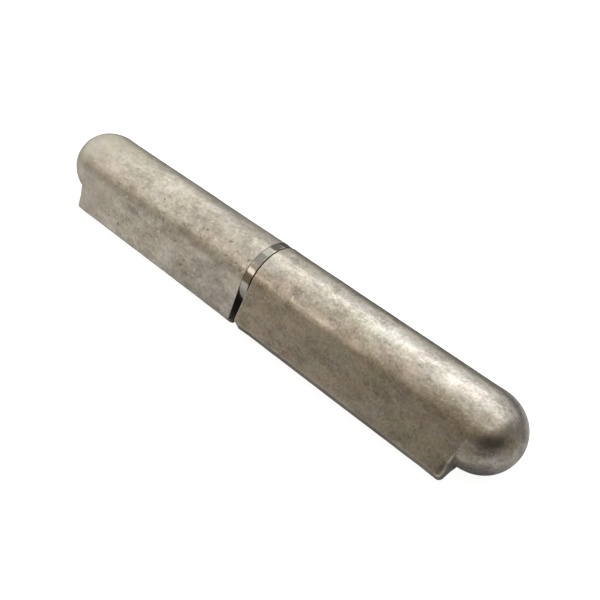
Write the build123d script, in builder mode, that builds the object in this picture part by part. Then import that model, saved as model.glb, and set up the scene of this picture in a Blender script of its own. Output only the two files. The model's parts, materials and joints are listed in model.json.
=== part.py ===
"""Weld-on barrel hinge with drop-shaped leaves: a lower leaf with a pressed-in pin, a thrust washer
and an upper leaf that swings on the pin and lifts off it.

The hinge lies on one flank of its lower leaf, at Z = 0. The hinge axis runs along X, and the upper
leaf is at +X. The frame's origin is under the middle of the hinge's box.
"""

from build123d import *
import os
from math import asin, atan2, cos, degrees, hypot, radians, sin, sqrt, tan

# Whole hinge
OVERALL_LENGTH = 120.0  # over both domes
SWING_AT_REST = 10.0  # degrees that the upper leaf stands open from the lower one

# Section of a leaf: a round barrel drawn out to a blunt nose, whose end is the weld face
BARREL_DIAMETER = 16.0
NOSE_REACH = 11.9  # hinge axis to weld face
NOSE_WIDTH = 2.8  # weld face from flank to flank, before its edges are rounded

# Ends of a leaf
DOME_LAND = 0.2  # barrel left round between the flange and the dome
CORNER_ROUND = 1.0  # the flange's four corners, seen from the side
EDGE_ROUND = 0.45  # all round each flank
MOUTH_BREAK = 0.15  # barrel's edge at the washer

# Thrust washer
WASHER_INSET = 0.1  # barrel's surface to the washer's
WASHER_THICKNESS = 1.9
WASHER_BREAK = 0.1
END_PLAY = 0.3  # washer to upper leaf

# Pin, and the blind bores that it stands in
PIN_DIAMETER = 9.0  # also the lower leaf's bore, which it is pressed into
PRESSED_LENGTH = 40.0  # pin inside the lower leaf
RUNNING_LENGTH = 40.0  # pin inside the upper leaf
PIN_CHAMFER = 0.8
BORE_CLEARANCE = 0.05  # radial, upper leaf on the pin
WASHER_CLEARANCE = 0.08  # radial, washer on the pin
TIP_ROOM = 1.0  # pin's end to the end of the bore's wall
DRILL_ANGLE = 118.0
BORE_CHAMFER = 0.6

barrel_radius = BARREL_DIAMETER / 2
pin_radius = PIN_DIAMETER / 2
leaf_length = (OVERALL_LENGTH - WASHER_THICKNESS - END_PLAY) / 2
flange_length = leaf_length - barrel_radius - DOME_LAND
seat_x = (WASHER_THICKNESS + END_PLAY) / 2

# The flank is the tangent from the weld face's corner to the barrel
corner_distance = hypot(NOSE_REACH, NOSE_WIDTH / 2)
flank_angle = asin(barrel_radius / corner_distance) - atan2(NOSE_WIDTH / 2, NOSE_REACH)
flank_length = sqrt(corner_distance**2 - barrel_radius**2)


def front_reach(nose_dip):
    """Furthest reach from the hinge axis towards -Y of a nose that dips so far below it."""
    round_u = NOSE_REACH - EDGE_ROUND
    round_v = (barrel_radius - EDGE_ROUND - round_u * sin(flank_angle)) / cos(flank_angle)
    return round_u * cos(nose_dip) + round_v * abs(sin(nose_dip)) + EDGE_ROUND


lower_dip = flank_angle
upper_dip = flank_angle - radians(SWING_AT_REST)
axis_y = (max(front_reach(lower_dip), front_reach(upper_dip)) - barrel_radius) / 2


def seat_plane(side, nose_dip):
    """Mating end of a leaf, with its x towards the nose and its z along the barrel to the dome."""
    return Plane(
        origin=(side * seat_x, axis_y, barrel_radius),
        x_dir=(0, -cos(nose_dip), -sin(nose_dip)),
        z_dir=(side, 0, 0),
    )


def build_leaf(seat, bore_radius, bore_depth):
    """One leaf: flange, barrel with its round end, and the blind bore for the pin."""
    along_barrel = Axis(seat.origin, seat.z_dir)
    towards_nose = Axis(seat.origin, seat.x_dir)
    lengthwise = Plane(seat.origin, x_dir=seat.x_dir, z_dir=-seat.y_dir)
    tangent_u = barrel_radius * sin(flank_angle)
    tangent_v = barrel_radius * cos(flank_angle)

    with BuildPart() as leaf:
        with BuildSketch(seat):
            with BuildLine():
                Polyline(
                    (0, 0),
                    (tangent_u, tangent_v),
                    (NOSE_REACH, NOSE_WIDTH / 2),
                    (NOSE_REACH, -NOSE_WIDTH / 2),
                    (tangent_u, -tangent_v),
                    close=True,
                )
            make_face()
        extrude(amount=flange_length)
        fillet(leaf.edges().filter_by(Axis(seat.origin, seat.y_dir)), CORNER_ROUND)
        flanks = leaf.faces().filter_by(
            lambda face: abs(abs(face.normal_at().dot(seat.y_dir)) - cos(flank_angle)) < 1e-6
            and face.normal_at().dot(seat.x_dir) > 0
        )
        fillet([edge for flank in flanks for edge in flank.edges().sort_by(towards_nose)[1:]], EDGE_ROUND)

        with BuildSketch(lengthwise):
            with BuildLine():
                Polyline(
                    (0, leaf_length),
                    (0, 0),
                    (barrel_radius - MOUTH_BREAK, 0),
                    (barrel_radius, MOUTH_BREAK),
                    (barrel_radius, leaf_length - barrel_radius),
                )
                RadiusArc((barrel_radius, leaf_length - barrel_radius), (0, leaf_length), -barrel_radius)
            make_face()
        revolve(axis=along_barrel)

        with BuildSketch(lengthwise):
            with BuildLine():
                Polyline(
                    (0, 0),
                    (bore_radius + BORE_CHAMFER, 0),
                    (bore_radius, BORE_CHAMFER),
                    (bore_radius, bore_depth),
                    (0, bore_depth + bore_radius / tan(radians(DRILL_ANGLE / 2))),
                    close=True,
                )
            make_face()
        revolve(axis=along_barrel, mode=Mode.SUBTRACT)
    return leaf


lower_seat = seat_plane(-1, lower_dip)
upper_seat = seat_plane(1, upper_dip)
pin_tip_x = seat_x + RUNNING_LENGTH
pin_root_x = -seat_x - PRESSED_LENGTH

lower_leaf = build_leaf(lower_seat, pin_radius, PRESSED_LENGTH + TIP_ROOM)
upper_leaf = build_leaf(upper_seat, pin_radius + BORE_CLEARANCE, RUNNING_LENGTH + TIP_ROOM)

with BuildPart() as hinge_pin:
    with BuildSketch(Plane.YZ.offset(pin_root_x)):
        with Locations((axis_y, barrel_radius)):
            Circle(pin_radius)
    extrude(amount=pin_tip_x - pin_root_x)
    chamfer(hinge_pin.edges().filter_by(GeomType.CIRCLE), PIN_CHAMFER)

with BuildPart() as thrust_washer:
    with BuildSketch(Plane.YZ.offset(-seat_x)):
        with Locations((axis_y, barrel_radius)):
            Circle(barrel_radius - WASHER_INSET)
            Circle(pin_radius + WASHER_CLEARANCE, mode=Mode.SUBTRACT)
    extrude(amount=WASHER_THICKNESS)
    chamfer(thrust_washer.edges().filter_by(GeomType.CIRCLE), WASHER_BREAK)

lower_leaf.part.label = "lower_leaf"
upper_leaf.part.label = "upper_leaf"
hinge_pin.part.label = "hinge_pin"
thrust_washer.part.label = "thrust_washer"

os.makedirs("parts", exist_ok=True)
export_step(lower_leaf.part, "parts/lower_leaf.step")
export_step(upper_leaf.part, "parts/upper_leaf.step")
export_step(hinge_pin.part, "parts/hinge_pin.step")
export_step(thrust_washer.part, "parts/thrust_washer.step")

print("leaf length", round(leaf_length, 2), "axis y", round(axis_y, 3))
print("flank angle", round(degrees(flank_angle), 2), "flank length", round(flank_length, 2))
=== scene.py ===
"""The looks of a weld-on barrel hinge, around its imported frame. Lengths here are in metres.

Two drop-shaped leaves of tumbled stainless steel, a polished thrust washer between them, and a
ground pin that shows when the upper leaf is lifted off.
"""

import json
from math import atan2, cos, pi, radians, sin, tan

import bmesh
import bpy
from mathutils import Matrix, Vector


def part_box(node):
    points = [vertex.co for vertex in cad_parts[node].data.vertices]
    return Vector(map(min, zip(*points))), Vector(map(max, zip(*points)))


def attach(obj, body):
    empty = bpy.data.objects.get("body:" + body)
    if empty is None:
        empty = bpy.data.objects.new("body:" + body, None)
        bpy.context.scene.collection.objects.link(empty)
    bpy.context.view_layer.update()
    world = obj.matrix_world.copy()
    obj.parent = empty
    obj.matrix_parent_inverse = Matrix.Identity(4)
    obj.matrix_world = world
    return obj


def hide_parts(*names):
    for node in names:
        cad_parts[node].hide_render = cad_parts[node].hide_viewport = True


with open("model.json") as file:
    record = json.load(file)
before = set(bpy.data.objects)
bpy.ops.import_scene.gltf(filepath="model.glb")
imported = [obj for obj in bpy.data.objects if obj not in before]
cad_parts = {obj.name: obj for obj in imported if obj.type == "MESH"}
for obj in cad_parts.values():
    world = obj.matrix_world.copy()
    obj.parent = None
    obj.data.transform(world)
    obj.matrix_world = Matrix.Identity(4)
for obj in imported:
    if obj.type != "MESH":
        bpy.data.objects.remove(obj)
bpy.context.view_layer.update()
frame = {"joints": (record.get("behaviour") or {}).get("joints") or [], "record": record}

MM = 0.001
QUARTER_TURN = pi / 2

# ---------------------------------------------------------------- sizes read from the frame
mounts = {mount["name"]: mount for mount in frame["record"]["mounts"]}
joints = {joint["name"]: joint for joint in frame["joints"]}
axis_point = Vector(joints["swing"]["pos_m"])
barrel_radius = axis_point.z
lower_nose = Vector(mounts["lower_weld_face"]["axis"])
upper_nose = Vector(mounts["upper_weld_face"]["axis"])
flank_angle = atan2(-lower_nose.z, -lower_nose.y)
flank_length = 2 * abs(mounts["resting_flank"]["pos_m"][1] - axis_point.y)
nose_reach = barrel_radius * sin(flank_angle) + flank_length * cos(flank_angle)
lower_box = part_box("lower_leaf")
upper_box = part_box("upper_leaf")
pin_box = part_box("hinge_pin")
washer_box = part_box("thrust_washer")
leaf_length = upper_box[1].x - upper_box[0].x
flange_length = 2 * (mounts["upper_weld_face"]["pos_m"][0] - upper_box[0].x)
pin_radius = (pin_box[1].y - pin_box[0].y) / 2
pin_reach = pin_box[1].x - upper_box[0].x  # into each leaf

# ---------------------------------------------------------------- sizes of the finish
EDGE_ROUND = 0.45 * MM  # all round each flank
CORNER_ROUND = 1.0 * MM  # the flange's corners, seen from the side
END_ROUND = 1.2 * MM  # flank's edge at the dome
END_ROUND_LIMIT = 0.6  # share of the flange's height over the barrel that its end is rounded at most
MOUTH_ROUND = 0.08 * MM  # barrel's edge at the washer
NOSE_PINCH = 0.85  # share by which the nose narrows where its corners round off
SKIN = 0.01 * MM  # the finished surface lies this far inside the solid
TIP_ROOM = 1.0 * MM  # pin's end to the end of the bore's wall
DRILL_ANGLE = 118.0  # degrees, over the whole point
BORE_CHAMFER = 0.6 * MM
BORE_CLEARANCE = 0.05 * MM  # upper leaf's bore to the pin
WASHER_CLEARANCE = 0.08 * MM  # washer's hole to the pin
WASHER_EDGE = 0.06 * MM
PIN_CHAMFER = 0.8 * MM
WAVE_LENGTH = 5.0 * MM  # from one long wave of the cast skin to the next
WAVE_DEPTH = 0.12 * MM
DENT_LENGTH = 1.2 * MM  # from one small dent to the next
DENT_CALM = 0.06  # share of the flange, at both its ends, over which waves and dents fade out
DENT_RETURN = 6  # how fast they come back over the dome: 1 would take all of it
POINT_GAP = 0.001 * MM  # points nearer than this are one


# ---------------------------------------------------------------- node trees written as formulas
class Term:
    """A number in a node tree, which can be added, multiplied and so on. Each step adds a Math node."""

    def __init__(self, tree, socket):
        self.tree, self.socket = tree, socket

    def math(self, operation, *others, clamp=False):
        made = self.tree.nodes.new("ShaderNodeMath")
        made.operation = operation
        made.use_clamp = clamp
        for socket, value in zip(made.inputs, (self, *others)):
            feed(self.tree, value, socket)
        return Term(self.tree, made.outputs[0])

    def __add__(self, other):
        return self.math("ADD", other)

    __radd__ = __add__

    def __mul__(self, other):
        return self.math("MULTIPLY", other)

    __rmul__ = __mul__

    def __sub__(self, other):
        return self.math("SUBTRACT", other)

    def __rsub__(self, other):
        return self * -1 + other

    def __truediv__(self, other):
        return self.math("DIVIDE", other)

    def __rtruediv__(self, other):
        return self.math("POWER", -1.0) * other

    def __abs__(self):
        return self.math("ABSOLUTE")

    def clamped(self):
        return self.math("ADD", 0.0, clamp=True)

    def sine(self):
        return self.math("SINE")

    def cosine(self):
        return self.math("COSINE")

    def least(self, other):
        return self.math("MINIMUM", other)

    def most(self, other):
        return self.math("MAXIMUM", other)

    def towards(self, other, share):
        return self * (1 - share) + share * other

    def above(self, limit, gain):
        """0 up to the limit, and from there up to 1 at this gain."""
        return ((self - limit) * gain).clamped()

    def below(self, limit, gain):
        """0 down to the limit, and from there up to 1 at this gain."""
        return ((limit - self) * gain).clamped()

    def around(self, middle, gain):
        """1 at the middle, and down to 0 on both sides of it at this gain."""
        return (1 - abs(self - middle) * gain).clamped()

    def spread(self, gain):
        """Noise pulled away from its middle, and kept from 0 to 1."""
        return ((self - 0.5) * gain + 0.5).clamped()


def feed(tree, value, socket):
    """Links a term or a socket to a socket, or sets a plain value on it."""
    if isinstance(value, Term):
        tree.links.new(value.socket, socket)
    elif isinstance(value, bpy.types.NodeSocket):
        tree.links.new(value, socket)
    else:
        socket.default_value = value


def node(tree, kind, output=0, settings=(), **inputs):
    """Adds a node and returns one of its outputs. Underscores in an input's name stand for spaces."""
    made = tree.nodes.new(kind)
    for name, value in dict(settings).items():
        setattr(made, name, value)
    for name, value in inputs.items():
        feed(tree, value, made.inputs[name.replace("_", " ")])
    return made.outputs[output]


def joined(tree, operation, first, second):
    """Two vectors added, multiplied or crossed."""
    made = tree.nodes.new("ShaderNodeVectorMath")
    made.operation = operation
    feed(tree, first, made.inputs[0])
    feed(tree, second, made.inputs[1])
    return made.outputs[0]


def scaled(tree, vector, share):
    """A vector made longer or shorter."""
    return node(tree, "ShaderNodeVectorMath", settings={"operation": "SCALE"}, Vector=vector, Scale=share)


def coordinates(tree, place):
    """The x, y and z of a place."""
    parts = tree.nodes.new("ShaderNodeSeparateXYZ")
    feed(tree, place, parts.inputs[0])
    return [Term(tree, socket) for socket in parts.outputs]


def noise(tree, seed, scale, detail, roughness=0.5, **place):
    """Noise from 0 to 1, different for each seed."""
    made = node(
        tree,
        "ShaderNodeTexNoise",
        settings={"noise_dimensions": "4D"},
        W=seed,
        Scale=scale,
        Detail=detail,
        Roughness=roughness,
        **place,
    )
    return Term(tree, made)


def new_tree(name, kind, inputs):
    """A node tree with inputs of these names, kinds and values. Returns it and its inputs by name."""
    tree = bpy.data.node_groups.new(name, kind)
    for label, socket_type, value in inputs:
        socket = tree.interface.new_socket(label, in_out="INPUT", socket_type=socket_type)
        if value is not None:
            socket.default_value = value
    given = tree.nodes.new("NodeGroupInput").outputs
    return tree, {label: given[label] for label, *_ in inputs}


def put_out(tree, socket_type, **results):
    """Ends a tree with these results as its outputs."""
    for label in results:
        tree.interface.new_socket(label, in_out="OUTPUT", socket_type=socket_type)
    out = tree.nodes.new("NodeGroupOutput")
    for label, value in results.items():
        feed(tree, value, out.inputs[label])


def stages(place, *steps):
    """How far each of a row of stages has been walked, from 0 to 1, where place counts the steps."""
    start = 0
    for count in steps:
        yield ((place - start) / count).clamped()
        start += count


# ---------------------------------------------------------------- the drop leaf
ROUND_THE_LEAF = (
    5,  # steps over half the nose
    8,  # its rounded edge
    32,  # a flank
    62,  # half the barrel
)
ALONG_THE_LEAF = (
    5,  # steps over the cone that the drill leaves
    24,  # the bore's wall
    3,  # its chamfer
    16,  # mating face
    8,  # rounded edge
    190,  # flange
    8,  # rounded edge
    16,  # flange's end, down to the barrel
    2,  # barrel left round
    44,  # dome
)


LEAF_SIZES = (
    "Barrel Radius",
    "Nose Reach",  # axis to weld face
    "Flank Angle",
    "Leaf Length",
    "Flange Length",
    "Edge Round",
    "Corner Round",
    "End Round",
    "Mouth Round",
    "Bore Radius",
    "Bore Depth",
    "Bore Cone",
    "Bore Chamfer",
    "Wave Depth",
    "Dent Depth",
    "Seed",
)
LEAF_PLACES = (
    "Seat",  # middle of the mating end
    "Along",  # from there to the dome
    "Nose",  # from the axis to the weld face
)


def leaf_tree():
    """The rule of a leaf's skin: a drop section walked from the bore's tip over the mating end, along
    the flange and over the dome, then dented as tumbling leaves it."""
    inputs = [(label, "NodeSocketFloat", None) for label in LEAF_SIZES]
    inputs += [(label, "NodeSocketVector", None) for label in LEAF_PLACES]
    inputs += [("Material", "NodeSocketMaterial", None)]
    tree, given = new_tree("drop leaf", "GeometryNodeTree", inputs)
    size = {label: Term(tree, given[label]) for label in LEAF_SIZES}
    columns, rows = 2 * sum(ROUND_THE_LEAF), sum(ALONG_THE_LEAF)
    grid = node(
        tree, "GeometryNodeMeshGrid", Size_X=2.0, Size_Y=1.0, Vertices_X=columns + 1, Vertices_Y=rows + 1
    )
    across, up, _ = coordinates(tree, node(tree, "GeometryNodeInputPosition"))
    side = across.math("SIGN")

    # Section: half the nose, its rounded edge, the flank, and half the barrel
    radius, edge, weld_face = size["Barrel Radius"], size["Edge Round"], size["Nose Reach"]
    normal_turn = QUARTER_TURN - size["Flank Angle"]
    nose_half = (radius - edge - (weld_face - edge) * normal_turn.cosine()) / normal_turn.sine()
    flank_run = (weld_face - edge) * normal_turn.sine() - nose_half * normal_turn.cosine()
    nose, corner, flank, barrel = stages(abs(across) * (columns / 2), *ROUND_THE_LEAF)
    corner_turn = corner * normal_turn
    barrel_turn = barrel * (pi - normal_turn)
    turn = corner_turn + barrel_turn
    u = (
        weld_face
        - edge * (1 - corner_turn.cosine())
        - flank * flank_run * normal_turn.sine()
        + radius * ((normal_turn + barrel_turn).cosine() - normal_turn.cosine())
    )
    v = (
        nose * nose_half
        + edge * corner_turn.sine()
        + flank * flank_run * normal_turn.cosine()
        + radius * ((normal_turn + barrel_turn).sine() - normal_turn.sine())
    )
    reach = (u * u + v * v).math("SQRT")
    radial_u, radial_v = u / reach, v / reach
    height = reach - radius

    # Meridian: each point of the section is walked from the bore's tip to the dome's pole
    walked = (up + 0.5) * rows
    cone, bore, chamfer, face, near, run, far, end, land, dome = stages(walked, *ALONG_THE_LEAF)
    near_round = size["Corner Round"].towards(edge, corner).towards(size["Mouth Round"], flank)
    end_round = size["Corner Round"].towards(size["End Round"], corner)
    far_round = end_round.least(height * END_ROUND_LIMIT).most(0.0)
    near_turn, far_turn, dome_turn = near * QUARTER_TURN, far * QUARTER_TURN, dome * QUARTER_TURN
    inset = near_round * (1 - near_turn.sine()) + far_round * (1 - far_turn.cosine())
    hole = size["Bore Radius"] * cone + size["Bore Chamfer"] * chamfer
    narrowing = dome_turn.cosine()
    over_u = (u - turn.cosine() * inset).towards(radial_u * radius, end)
    rounding = 2 - near_turn.sine() - far_turn.cosine()
    pinched = v * (1 - rounding * NOSE_PINCH * (1 - corner))
    over_v = (pinched - turn.sine() * inset).towards(radial_v * radius, end)
    faced = face * face * (3 - face * 2)  # closer steps at the face's two borders
    final_u = (radial_u * hole).towards(over_u, faced) * narrowing
    final_v = (radial_v * hole).towards(over_v, faced) * narrowing * side
    final_x = (
        size["Bore Depth"]
        + size["Bore Cone"] * (1 - cone)
        - (size["Bore Depth"] - size["Bore Chamfer"]) * bore
        - size["Bore Chamfer"] * chamfer
        + near_round * (1 - near_turn.cosine())
        + (size["Flange Length"] - near_round - far_round) * run
        + far_round * far_turn.sine()
        + (size["Leaf Length"] - size["Flange Length"] - radius) * land
        + radius * dome_turn.sine()
    )

    # Its place: x along the barrel, u towards the nose, v across
    seat, along, to_nose = (given[label] for label in LEAF_PLACES)
    crossways = joined(tree, "CROSS_PRODUCT", along, to_nose)
    lengthwise = joined(tree, "ADD", seat, scaled(tree, along, final_x))
    sideways = joined(tree, "ADD", scaled(tree, to_nose, final_u), scaled(tree, crossways, final_v))
    spot = joined(tree, "ADD", lengthwise, sideways)

    # Stored on the points before they move: where edges are worn and painted with a highlight, where the
    # skin is the cast outside and not the turned end, which is painted darker as shade, and where waves
    # and dents may lie
    def marked(geometry, name, value):
        return node(
            tree,
            "GeometryNodeStoreNamedAttribute",
            settings={"data_type": "FLOAT", "domain": "POINT"},
            Geometry=geometry,
            Name=name,
            Value=value,
        )

    # Rounded edges, to be lightened as worn bare metal and partly as a painted highlight
    wear_and_highlight = (near * (1 - near)).most(corner * (1 - corner) * (near - far).clamped())
    outside = (near * 2).clamped()
    from_mouth = (run / DENT_CALM).clamped()
    from_end = ((1 - run) / DENT_CALM + dome * DENT_RETURN).clamped()
    edged = marked(grid, "edge", (wear_and_highlight * 4).clamped())
    faced_out = marked(edged, "outside", outside)
    known = marked(faced_out, "dented", from_mouth * from_end)
    shaped = node(tree, "GeometryNodeSetPosition", Geometry=known, Position=spot)
    closed = node(tree, "GeometryNodeMergeByDistance", Geometry=shaped, Distance=POINT_GAP)

    # Long shallow waves and small dents, both only inwards
    waves = noise(tree, size["Seed"], scale=1 / WAVE_LENGTH, detail=1.5)
    dents = noise(tree, size["Seed"], scale=1 / DENT_LENGTH, detail=2.0).above(limit=0.5, gain=4)
    dented_share = Term(tree, node(tree, "GeometryNodeInputNamedAttribute", Name="dented"))
    depth = (size["Wave Depth"] * waves + size["Dent Depth"] * dents) * dented_share
    inwards = scaled(tree, node(tree, "GeometryNodeInputNormal"), depth * -1)
    dented = node(tree, "GeometryNodeSetPosition", Geometry=closed, Offset=inwards)
    smooth = node(tree, "GeometryNodeSetShadeSmooth", Geometry=dented, Shade_Smooth=True)
    finished = node(tree, "GeometryNodeSetMaterial", Geometry=smooth, Material=given["Material"])
    real = node(tree, "GeometryNodeRealizeInstances", Geometry=finished)
    put_out(tree, "NodeSocketGeometry", Geometry=real)
    return tree


def grown(name, tree, **inputs):
    """The plain mesh that a Geometry Nodes tree makes with these inputs, as an object of that name."""
    carrier = bpy.data.objects.new(name + "_rule", bpy.data.meshes.new(name + "_rule"))
    bpy.context.scene.collection.objects.link(carrier)
    modifier = carrier.modifiers.new("rule", "NODES")
    modifier.node_group = tree
    for item in tree.interface.items_tree:
        key = item.name.replace(" ", "_")
        if item.in_out == "INPUT" and key in inputs:
            modifier[item.identifier] = inputs[key]
    carrier.update_tag()
    evaluated = carrier.evaluated_get(bpy.context.evaluated_depsgraph_get())
    mesh = bpy.data.meshes.new_from_object(evaluated)
    bpy.data.objects.remove(carrier)
    mesh.name = name
    piece = bpy.data.objects.new(name, mesh)
    bpy.context.scene.collection.objects.link(piece)
    return piece


def make_leaf(name, tree, seat_x, along, nose, bore_radius, seed, dent_depth, material):
    """One leaf, its mating end at seat_x, with its dome towards +X or -X of it."""
    return grown(
        name,
        tree,
        Barrel_Radius=barrel_radius - SKIN,
        Nose_Reach=nose_reach - SKIN,
        Flank_Angle=flank_angle,
        Leaf_Length=leaf_length - 2 * SKIN,
        Flange_Length=flange_length - 2 * SKIN,
        Edge_Round=EDGE_ROUND,
        Corner_Round=CORNER_ROUND,
        End_Round=END_ROUND,
        Mouth_Round=MOUTH_ROUND,
        Bore_Radius=bore_radius + SKIN,
        Bore_Depth=pin_reach + TIP_ROOM,
        Bore_Cone=bore_radius / tan(radians(DRILL_ANGLE / 2)),
        Bore_Chamfer=BORE_CHAMFER,
        Seat=(seat_x + along * SKIN, axis_point.y, axis_point.z),
        Along=(along, 0.0, 0.0),
        Nose=tuple(nose),
        Wave_Depth=WAVE_DEPTH,
        Dent_Depth=dent_depth,
        Seed=seed,
        Material=material,
    )


# ---------------------------------------------------------------- turned pieces
TURNED_STEPS = 192
CORNER_STEPS = 6
WASHER_SPACING = 0.4 * MM  # longest stretch of the washer's profile
PIN_SPACING = 1.0 * MM


def turned(name, profile, material):
    """A piece turned about the hinge axis. The profile is a closed or pole-to-pole row of (x, radius)."""
    mesh = bmesh.new()
    verts = [mesh.verts.new((x, axis_point.y, axis_point.z + radius)) for x, radius in profile]
    edges = [mesh.edges.new(pair) for pair in zip(verts, verts[1:])]
    if profile[0][1] > 0:
        edges.append(mesh.edges.new((verts[-1], verts[0])))
    bmesh.ops.spin(
        mesh,
        geom=verts + edges,
        cent=axis_point,
        axis=(1, 0, 0),
        angle=2 * pi,
        steps=TURNED_STEPS,
        use_duplicate=False,
    )
    bmesh.ops.remove_doubles(mesh, verts=mesh.verts, dist=POINT_GAP / 10)
    bmesh.ops.recalc_face_normals(mesh, faces=mesh.faces)
    for face in mesh.faces:
        face.smooth = True
    data = bpy.data.meshes.new(name)
    mesh.to_mesh(data)
    mesh.free()
    data.materials.append(material)
    piece = bpy.data.objects.new(name, data)
    bpy.context.scene.collection.objects.link(piece)
    return piece


def rounded(points, break_size):
    """A closed profile of (x, radius) points with its corners rounded off over this size."""
    made = []
    corners = [Vector(point) for point in points]
    for index, corner in enumerate(corners):
        before = corners[index - 1] - corner
        after = corners[(index + 1) % len(corners)] - corner
        start = corner + before.normalized() * break_size
        end = corner + after.normalized() * break_size
        for step in range(CORNER_STEPS + 1):
            share = step / CORNER_STEPS
            bend = start * (1 - share) ** 2 + corner * 2 * share * (1 - share) + end * share**2
            made.append(tuple(bend))
    return made


def subdivided(points, spacing, closed):
    """The same profile with no stretch longer than the spacing."""
    made = []
    pairs = list(zip(points, points[1:] + points[:1]))
    for start, end in pairs if closed else pairs[:-1]:
        start, end = Vector(start), Vector(end)
        pieces = max(1, round((end - start).length / spacing))
        made += [tuple(start.lerp(end, step / pieces)) for step in range(pieces)]
    return made if closed else made + [points[-1]]


def make_washer(material):
    low, high = washer_box
    outer = (high.z - low.z) / 2
    inner = pin_radius + WASHER_CLEARANCE
    square = [(low.x, inner), (low.x, outer), (high.x, outer), (high.x, inner)]
    profile = subdivided(rounded(square, WASHER_EDGE), WASHER_SPACING, closed=True)
    return turned("polished_washer", profile, material)


def make_pin(material):
    low, high = pin_box
    profile = [
        (low.x, 0.0),
        (low.x, pin_radius - PIN_CHAMFER),
        (low.x + PIN_CHAMFER, pin_radius),
        (high.x - PIN_CHAMFER, pin_radius),
        (high.x, pin_radius - PIN_CHAMFER),
        (high.x, 0.0),
    ]
    return turned("ground_pin", subdivided(profile, PIN_SPACING, closed=False), material)


# ---------------------------------------------------------------- steels
PATCH_SIZE = 2.4 * MM  # of the cloudy patches that casting leaves
PATCH_STRETCH = (0.55, 1.0, 1.0)  # patches are longer along the hinge
RELIEF = 0.06 * MM  # height of the grain
LINE_RELIEF = 0.01 * MM  # height of the lines that turning and grinding leave
SMEAR_SCALE = 420.0  # smears in a metre of a turned surface
CALM_START, CALM_STOP = 8.0 * MM, 26.0 * MM  # from the lower dome's pole, between which marks grow
CALM_MARKS = 0.4  # share of the marks' strength that the calm end keeps

BARE_EDGE_AND_HIGHLIGHT = (0.95, 0.93, 0.88, 1.0)
PIT_BROWN = (0.13, 0.105, 0.075, 1.0)
GAP_SHADE_STEEL = (0.27, 0.255, 0.235, 1.0)

# What a tint adds to red, green and blue, at full tinting
COOL, WARM = (-0.02, 0.0, 0.03), (0.02, 0.0, -0.06)
GREEN, ROSE = (-0.015, 0.012, -0.015), (0.02, -0.018, 0.015)


def tumbled_group():
    """What casting and tumbling leave on bare steel: cloudy patches, warm, cool and rosy tints, fine
    grain, pits, bright specks and a few curling scratches."""
    number = "NodeSocketFloat"
    tree, given = new_tree(
        "tumbled finish",
        "ShaderNodeTree",
        [
            ("Vector", "NodeSocketVector", None),
            ("Stretch", "NodeSocketVector", PATCH_STRETCH),
            ("Seed", number, None),
            ("Patch Size", number, PATCH_SIZE),
            ("Grain Size", number, None),
            ("Pitting", number, None),
        ],
    )
    seed, pitting = Term(tree, given["Seed"]), Term(tree, given["Pitting"])
    patch_size, grain_size = Term(tree, given["Patch Size"]), Term(tree, given["Grain Size"])
    stretched = joined(tree, "MULTIPLY", given["Vector"], given["Stretch"])

    def marks(offset, scale, detail, roughness=0.5, place=stretched):
        """Noise of its own for each mark, by an offset to the seed."""
        return noise(tree, seed + offset, scale, detail, roughness, Vector=place)

    # Patches of light and tint, from broad ones down to the grain
    broad = marks(5.1, 0.3 / patch_size, detail=1.0).spread(2.6)
    clouds = marks(1.3, 1 / patch_size, detail=4.0, roughness=0.7).spread(3.2)
    flakes = marks(27.0, 0.6 / patch_size, detail=5.0, roughness=0.72).spread(11.0)
    warmth = marks(9.7, 0.8 / patch_size, detail=3.0, roughness=0.6).spread(3.2)
    blush = marks(17.5, 0.9 / patch_size, detail=4.0, roughness=0.65).spread(5.0)
    grain = marks(14.2, 1 / grain_size, detail=1.0, roughness=0.6, place=given["Vector"]).spread(3.0)

    # Pits: small holes, and rings that stones knock into about a fifth of the cells
    cells = tree.nodes.new("ShaderNodeTexVoronoi")
    cells.voronoi_dimensions = "4D"
    feed(tree, given["Vector"], cells.inputs["Vector"])
    feed(tree, seed + 51.0, cells.inputs["W"])
    feed(tree, 0.42 / grain_size, cells.inputs["Scale"])
    draw = Term(tree, node(tree, "ShaderNodeSeparateColor", "Red", Color=cells.outputs["Color"]))
    rings = Term(tree, cells.outputs["Distance"]).around(middle=0.3, gain=12)
    rings = rings * draw.math("LESS_THAN", 0.22) * (clouds + 0.2).clamped()
    holes = marks(3.0, 0.7 / grain_size, detail=2.0).below(limit=0.362, gain=12)
    pits = holes.most(rings * 0.6) * broad.above(limit=0.2, gain=1.8) * pitting

    # Bright specks and curling scratches
    specks = marks(21.0, 0.9 / grain_size, detail=1.5).above(limit=0.635, gain=10)
    curls = marks(33.0, 0.45 / patch_size, detail=2.0, roughness=0.45).around(middle=0.5, gain=70)
    scratches = curls * marks(41.0, 0.6 / patch_size, detail=1.0).above(limit=0.55, gain=9) * pitting
    bright = (specks + scratches * 0.7).clamped()
    height = clouds * 0.55 + flakes * 0.1 + grain * 0.2 - pits * 0.9 + bright * 0.2
    put_out(
        tree,
        number,
        Clouds=clouds,
        Warmth=warmth,
        Blush=blush,
        Flakes=flakes,
        Grain=grain,
        Pits=pits,
        Specks=bright,
        Height=height,
    )
    return tree


def new_material(name):
    material = bpy.data.materials.new(name)
    material.use_nodes = True
    tree = material.node_tree
    return material, tree, tree.nodes["Principled BSDF"]


def blended(tree, share, first, second, blend="MIX"):
    """One colour blended into another by a share."""
    made = tree.nodes.new("ShaderNodeMix")
    made.data_type = "RGBA"
    made.blend_type = blend
    # Its sockets for numbers, vectors and colours share their names, so the colours' go by number
    feed(tree, share, made.inputs[0])
    feed(tree, first, made.inputs[6])
    feed(tree, second, made.inputs[7])
    return made.outputs[2]


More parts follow.
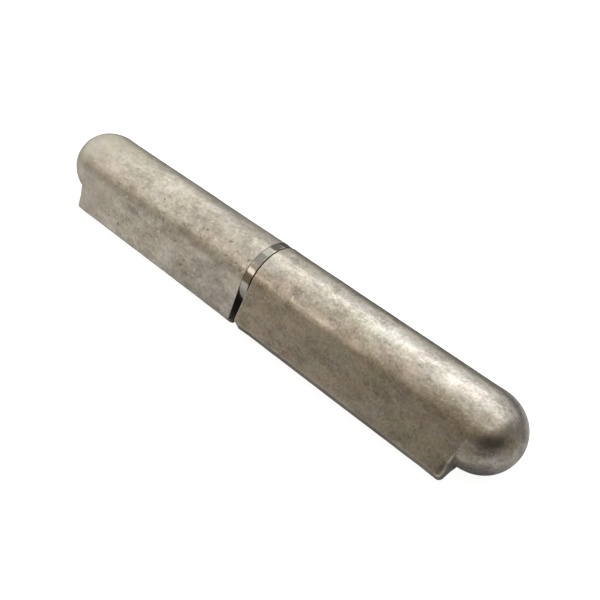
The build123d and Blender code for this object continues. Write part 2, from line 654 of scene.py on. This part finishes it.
def tinted(tree, colour, share, tint_a, tint_b, tinting):
    """A colour in a tint that goes from the first to the second by a share."""
    hues = [(*(1 + tinting * part for part in tint), 1.0) for tint in (tint_a, tint_b)]
    return blended(tree, 1.0, colour, blended(tree, share, *hues), "MULTIPLY")


def object_place(tree):
    """The place on a piece, in the hinge's own coordinates."""
    return node(tree, "ShaderNodeTexCoord", "Object")


def point_value(tree, name):
    """A value that the leaf's rule stored on the points."""
    return Term(tree, node(tree, "ShaderNodeAttribute", "Fac", settings={"attribute_name": name}))


def tumbled_steel(name, group, seed, grain, pitting, rough, light, dark, tinting, bump, calm_end=None):
    """Bare cast stainless after tumbling, its colour between a light and a dark grey, in warm, cool and
    rosy tints. Edges are lighter, as worn bare metal and partly as a painted highlight along the rounds,
    and the turned mating end is painted darker, as shade in the narrow gap between the parts. A calm
    end is a stretch along X over which the marks grow to their full strength."""
    material, tree, surface = new_material(name)
    finish = tree.nodes.new("ShaderNodeGroup")
    finish.node_tree = group
    feed(tree, object_place(tree), finish.inputs["Vector"])
    feed(tree, seed, finish.inputs["Seed"])
    feed(tree, grain, finish.inputs["Grain Size"])
    feed(tree, pitting, finish.inputs["Pitting"])
    got = {socket.name: Term(tree, socket) for socket in finish.outputs}
    edge, outside = point_value(tree, "edge"), point_value(tree, "outside")
    strength = 1.0
    if calm_end:
        start, stop = calm_end
        x, _, _ = coordinates(tree, object_place(tree))
        strength = ((x - start) / (stop - start)).clamped() * (1 - CALM_MARKS) + CALM_MARKS

    mottling = got["Clouds"] * 0.5 + got["Flakes"] * 0.18 + got["Grain"] * 0.32
    tone = ((mottling - 0.5) * strength + 0.5).clamped()
    # Painted highlight in part: rounded edges go towards near-white, as worn bare metal and as a
    # highlight along the rounds
    bright = (got["Specks"] * 0.6 * strength + edge * 0.6).clamped()
    colour = blended(tree, tone, dark, light)
    colour = tinted(tree, colour, got["Warmth"], COOL, WARM, tinting)
    colour = tinted(tree, colour, got["Blush"], GREEN, ROSE, tinting)
    colour = blended(tree, bright, colour, BARE_EDGE_AND_HIGHLIGHT)
    colour = blended(tree, got["Pits"] * 0.6 * strength, colour, PIT_BROWN)
    # Painted shade: the turned mating end, the bore and its chamfer are darkened, as the narrow gap
    # between the parts shades them
    colour = blended(tree, outside, GAP_SHADE_STEEL, colour)
    roughness = rough + (0.5 - got["Clouds"]) * 0.08 + got["Pits"] * 0.1 - edge * 0.06
    height = got["Height"] * outside
    relief = node(tree, "ShaderNodeBump", Strength=bump, Distance=RELIEF, Height=height)
    feed(tree, colour, surface.inputs["Base Color"])
    feed(tree, 1.0, surface.inputs["Metallic"])
    feed(tree, roughness, surface.inputs["Roughness"])
    feed(tree, relief, surface.inputs["Normal"])
    return material


def turned_steel(name, colour, rough, line_spacing, bump):
    """Steel turned or ground about the hinge axis, with fine lines round it and a few dull smears."""
    material, tree, surface = new_material(name)
    place = object_place(tree)
    centred = tree.nodes.new("ShaderNodeMapping")
    feed(tree, (0, -axis_point.y, -axis_point.z), centred.inputs["Location"])
    feed(tree, place, centred.inputs["Vector"])
    x, y, z = coordinates(tree, centred.outputs[0])
    radius = (y * y + z * z).math("SQRT")
    on_profile = node(tree, "ShaderNodeCombineXYZ", X=x, Y=radius, Z=0.0)
    fine = node(tree, "ShaderNodeTexNoise", Vector=on_profile, Scale=1 / line_spacing, Detail=3.0)
    smeared = node(tree, "ShaderNodeTexNoise", Vector=place, Scale=SMEAR_SCALE, Detail=3.0)
    lines, smears = Term(tree, fine), Term(tree, smeared)

    tone = (lines * 0.5 + smears * 0.5).spread(1.6)
    dark = (*(channel * 0.8 for channel in colour[:3]), 1.0)
    relief = node(tree, "ShaderNodeBump", Strength=bump, Distance=LINE_RELIEF, Height=lines)
    feed(tree, blended(tree, tone, dark, colour), surface.inputs["Base Color"])
    feed(tree, 1.0, surface.inputs["Metallic"])
    feed(tree, rough + (smears - 0.5) * 0.12, surface.inputs["Roughness"])
    feed(tree, relief, surface.inputs["Normal"])
    return material


# ---------------------------------------------------------------- the studio
def seen_share(tree, by_eye, by_mirror):
    """A strength for what the eye sees directly, and another for what steel mirrors or glass lets by."""
    path = tree.nodes.new("ShaderNodeLightPath")
    camera, glossy, through = (
        Term(tree, path.outputs[f"Is {kind} Ray"]) for kind in ("Camera", "Glossy", "Transmission")
    )
    return camera * by_eye + (glossy + through).clamped() * by_mirror


FLOOR_RADIUS = 1.2
FLOOR_SIDES = 96
ROOM_LIGHT = 0.2  # strength of the world on matt surfaces


def make_floor():
    """White to the eye, and dim where the steel mirrors it."""
    mesh = bmesh.new()
    bmesh.ops.create_circle(mesh, cap_ends=True, radius=FLOOR_RADIUS, segments=FLOOR_SIDES)
    data = bpy.data.meshes.new("floor")
    mesh.to_mesh(data)
    mesh.free()
    floor = bpy.data.objects.new("floor", data)
    bpy.context.scene.collection.objects.link(floor)
    material, tree, surface = new_material("white sweep")
    feed(tree, (0.50, 0.50, 0.50, 1.0), surface.inputs["Base Color"])
    feed(tree, 0.9, surface.inputs["Roughness"])
    feed(tree, 0.0, surface.inputs["Specular IOR Level"])
    feed(tree, (1.0, 1.0, 1.0, 1.0), surface.inputs["Emission Color"])
    feed(tree, seen_share(tree, by_eye=0.90, by_mirror=0.02), surface.inputs["Emission Strength"])
    data.materials.append(material)


def make_world():
    """White to the eye and where steel mirrors it, and a weak light on matt surfaces."""
    world = bpy.data.worlds.new("studio")
    bpy.context.scene.world = world
    world.use_nodes = True
    tree = world.node_tree
    background = tree.nodes["Background"]
    seen = seen_share(tree, by_eye=1 - ROOM_LIGHT, by_mirror=1 - ROOM_LIGHT)
    feed(tree, (1.0, 1.0, 1.0, 1.0), background.inputs["Color"])
    feed(tree, seen + ROOM_LIGHT, background.inputs["Strength"])


def direction(azimuth, elevation):
    """Unit vector, with the azimuth in degrees from +Y towards +X, and the elevation up from level."""
    turn, rise = radians(azimuth), radians(elevation)
    return Vector((sin(turn) * cos(rise), cos(turn) * cos(rise), sin(rise)))


def facing(place, target):
    """Matrix of something at a place whose -Z looks at the target."""
    turn = (target - place).to_track_quat("-Z", "Y")
    return Matrix.Translation(place) @ turn.to_matrix().to_4x4()


HINGE_MIDDLE = Vector((0, 0, barrel_radius))
TENT_RADIUS = 0.7
PANEL_STEPS = 8
FLOOR_SHADING_HEIGHT = 0.5  # millimetres over the floor

# Tints of the tent's cloth and card
WHITE = (1.0, 1.0, 1.0)
IVORY = (1.0, 1.0, 0.88)
CREAM = (1.0, 0.95, 0.88)
SAND = (1.0, 0.88, 0.74)
BROWN = (1.0, 0.78, 0.5)


def make_card(name, mesh, brightness, tint):
    """A card of this shape that glows with this brightness, which the steel mirrors and nothing else
    sees.
    """
    data = bpy.data.meshes.new(name)
    mesh.to_mesh(data)
    mesh.free()
    card = bpy.data.objects.new(name, data)
    bpy.context.scene.collection.objects.link(card)
    card.visible_camera = card.visible_diffuse = card.visible_shadow = card.visible_transmission = False
    material, tree, surface = new_material(name)
    feed(tree, (0.0, 0.0, 0.0, 1.0), surface.inputs["Base Color"])
    feed(tree, 1.0, surface.inputs["Roughness"])
    feed(tree, 0.0, surface.inputs["Specular IOR Level"])
    feed(tree, (*tint, 1.0), surface.inputs["Emission Color"])
    feed(tree, brightness, surface.inputs["Emission Strength"])
    material.cycles.emission_sampling = "NONE"
    data.materials.append(material)


def make_panel(name, azimuths, elevations, brightness, tint):
    """A curved panel of the tent round the hinge, between two azimuths and two elevations."""
    mesh = bmesh.new()
    shares = [step / PANEL_STEPS for step in range(PANEL_STEPS + 1)]
    rows = []
    for up in shares:
        elevation = elevations[0] + (elevations[1] - elevations[0]) * up
        row = [azimuths[0] + (azimuths[1] - azimuths[0]) * across for across in shares]
        places = [HINGE_MIDDLE + direction(azimuth, elevation) * TENT_RADIUS for azimuth in row]
        rows.append([mesh.verts.new(place) for place in places])
    for low, high in zip(rows, rows[1:]):
        for corner in range(PANEL_STEPS):
            mesh.faces.new((low[corner], low[corner + 1], high[corner + 1], high[corner]))
    make_card(name, mesh, brightness, tint)


def make_sheet(name, corners, brightness, tint):
    """A flat card with these corners, in millimetres."""
    mesh = bmesh.new()
    mesh.faces.new([mesh.verts.new(Vector(corner) * MM) for corner in corners])
    make_card(name, mesh, brightness, tint)


def make_lamp(name, azimuth, elevation, distance, size, power, colour):
    """A round soft lamp, aimed at the hinge, that the steel doesn't mirror."""
    data = bpy.data.lights.new(name, "AREA")
    data.shape = "DISK"
    data.size = size
    data.energy = power
    data.color = colour
    lamp = bpy.data.objects.new(name, data)
    lamp.matrix_world = facing(direction(azimuth, elevation) * distance, HINGE_MIDDLE)
    lamp.visible_camera = lamp.visible_glossy = False
    bpy.context.scene.collection.objects.link(lamp)


def make_camera():
    """Looks down along the hinge from the upper leaf's side, a little tilted."""
    place = Vector((75.4, -89.4, 110.4)) * MM
    aim = Vector((8.3, 1.8, 8.0)) * MM
    tilt = Matrix.Rotation(radians(8.9), 4, "Z")
    data = bpy.data.cameras.new("camera")
    data.sensor_width = 36.0
    data.lens = 45.65
    data.clip_start = 0.01
    camera = bpy.data.objects.new("camera", data)
    camera.matrix_world = facing(place, aim) @ tilt
    bpy.context.scene.collection.objects.link(camera)
    bpy.context.scene.camera = camera


bpy.context.scene.view_settings.view_transform = "Standard"
make_world()
make_floor()
make_camera()

# What the steel mirrors: a tent of panels, brightest high up behind the hinge
for name, azimuths, elevations, brightness, tint in (
    ("scrim", (-42, 22), (46, 76), 1.8, WHITE),
    ("scrim_left", (-72, -42), (40, 76), 1.05, IVORY),
    ("left_high", (-128, -72), (34, 48), 1.4, CREAM),
    ("left_band", (-128, -72), (48, 64), 0.55, CREAM),
    ("left_top", (-128, -72), (64, 76), 1.15, CREAM),
    ("front_left_high", (-156, -128), (46, 76), 0.7, SAND),
    ("front_high", (150, 204), (46, 76), 0.55, SAND),
    ("right_high", (68, 150), (46, 76), 0.9, CREAM),
    ("back_right_high", (22, 68), (46, 76), 1.5, WHITE),
    ("ceiling_back", (-120, 70), (76, 90), 1.05, WHITE),
    ("ceiling_front", (70, 240), (76, 90), 0.25, IVORY),
    ("front_lamp", (-156, -128), (26, 38), 1.7, SAND),
    ("front_lamp_rim", (-156, -128), (38, 46), 0.6, SAND),
    ("front_lamp_foot", (-156, -128), (22, 26), 0.4, SAND),
    ("left_middle", (-128, -72), (20, 34), 0.55, WHITE),
    ("back_left_middle", (-72, -41), (20, 40), 0.95, CREAM),
    ("back_middle", (-29, -6), (20, 46), 0.85, WHITE),
    ("back_slot", (-41, -29), (6, 40), 0.25, CREAM),
    ("back_slot_top", (-42, -29), (40, 46), 1.5, SAND),
    ("back_right_middle", (-6, 55), (16, 46), 0.6, WHITE),
    ("right_middle", (55, 150), (32, 46), 0.15, BROWN),
    ("right_low", (55, 92), (0, 32), 0.2, SAND),
    ("front_right_low", (92, 150), (0, 32), 0.005, WHITE),
    ("front_right_corner", (150, 162), (0, 26), 0.02, SAND),
    ("front_middle", (150, 204), (26, 46), 0.2, BROWN),
    ("front_low", (162, 204), (0, 26), 0.13, BROWN),
    ("front_left_low", (-156, -128), (6, 22), 0.25, BROWN),
    ("left_low", (-128, -62), (6, 20), 1.3, IVORY),
    ("back_left_low", (-62, -41), (6, 20), 1.0, IVORY),
    ("back_low", (-29, -6), (6, 20), 0.65, IVORY),
    ("back_right_low", (-6, 55), (0, 16), 0.15, WHITE),
    ("left_skirt", (-156, -62), (0, 6), 0.22, BROWN),
    ("back_skirt", (-62, -6), (0, 6), 0.35, BROWN),
):
    make_panel(name, azimuths, elevations, brightness, tint)

# Glowing sheets just over the floor round the hinge, which only the steel mirrors: painted floor light
# and shade, dim where the hinge shades the floor near it; and a dark strip of card stood up behind it
for name, (x0, x1), (y0, y1), brightness, tint in (
    ("back_paper", (-130, 45), (16, 110), 0.12, WHITE),
    ("back_paper_right", (45, 85), (14, 80), 0.46, WHITE),
    ("front_paper_left", (-110, -25), (-210, -12), 0.7, CREAM),
    ("front_paper", (-25, 40), (-160, -26), 0.62, CREAM),
    ("under_paper", (2, 50), (-20, -3), 0.17, CREAM),
    ("dome_paper", (50, 68), (-26, -9.5), 0.44, CREAM),
    ("near_paper", (40, 85), (-60, -26), 0.15, BROWN),
    ("right_paper", (85, 220), (-120, 120), 0.22, SAND),
):
    flat = [(x, y, FLOOR_SHADING_HEIGHT) for x, y in ((x0, y0), (x1, y0), (x1, y1), (x0, y1))]
    make_sheet(name, flat, brightness, tint)
upright = [(-260, 140, 0), (160, 140, 0), (160, 140, 20), (-260, 140, 20)]
make_sheet("back_strip", upright, 0.03, IVORY)
make_lamp(
    "window", azimuth=-32, elevation=52, distance=0.9, size=0.7, power=6.5, colour=(1.00, 0.99, 0.97)
)
make_lamp(
    "fill", azimuth=150, elevation=60, distance=0.9, size=0.9, power=1.0, colour=(1.00, 0.97, 0.92)
)

# ---------------------------------------------------------------- the hinge
tumbled = tumbled_group()
lower_steel = tumbled_steel(
    "matt tumbled steel",
    tumbled,
    seed=3.0,
    grain=0.65 * MM,
    pitting=1.0,
    rough=0.42,
    light=(0.87, 0.833, 0.773, 1.0),
    dark=(0.36, 0.328, 0.278, 1.0),
    tinting=0.6,
    bump=0.6,
    calm_end=(lower_box[0].x + CALM_START, lower_box[0].x + CALM_STOP),
)
upper_steel = tumbled_steel(
    "satin tumbled steel",
    tumbled,
    seed=11.0,
    grain=0.5 * MM,
    pitting=0.4,
    rough=0.34,
    light=(0.93, 0.89, 0.82, 1.0),
    dark=(0.31, 0.278, 0.232, 1.0),
    tinting=1.0,
    bump=0.32,
)
washer_steel = turned_steel(
    "polished washer steel",
    # Its colour is set a little darker than the bare steel, as painted shade from its recess between the
    # leaves
    colour=(0.56, 0.545, 0.51, 1.0),
    rough=0.11,
    line_spacing=0.05 * MM,
    bump=0.2,
)
pin_steel = turned_steel(
    "ground pin steel",
    colour=(0.70, 0.69, 0.66, 1.0),
    rough=0.22,
    line_spacing=0.03 * MM,
    bump=0.4,
)

leaf = leaf_tree()
lower = make_leaf(
    "lower_leaf_skin",
    leaf,
    seat_x=lower_box[1].x,
    along=-1.0,
    nose=lower_nose,
    bore_radius=pin_radius,
    seed=4.0,
    dent_depth=0.03 * MM,
    material=lower_steel,
)
upper = make_leaf(
    "upper_leaf_skin",
    leaf,
    seat_x=upper_box[0].x,
    along=1.0,
    nose=upper_nose,
    bore_radius=pin_radius + BORE_CLEARANCE,
    seed=9.0,
    dent_depth=0.015 * MM,
    material=upper_steel,
)
washer = make_washer(washer_steel)
pin = make_pin(pin_steel)

for piece, body, node_name, slot in (
    (lower, "lower_leaf", "lower_leaf", "leaf_steel"),
    (upper, "upper_leaf", "upper_leaf", "leaf_steel"),
    (washer, "thrust_washer", "thrust_washer", "washer_steel"),
    (pin, "lower_leaf", "hinge_pin", "pin_steel"),
):
    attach(piece, body)
    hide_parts(node_name)
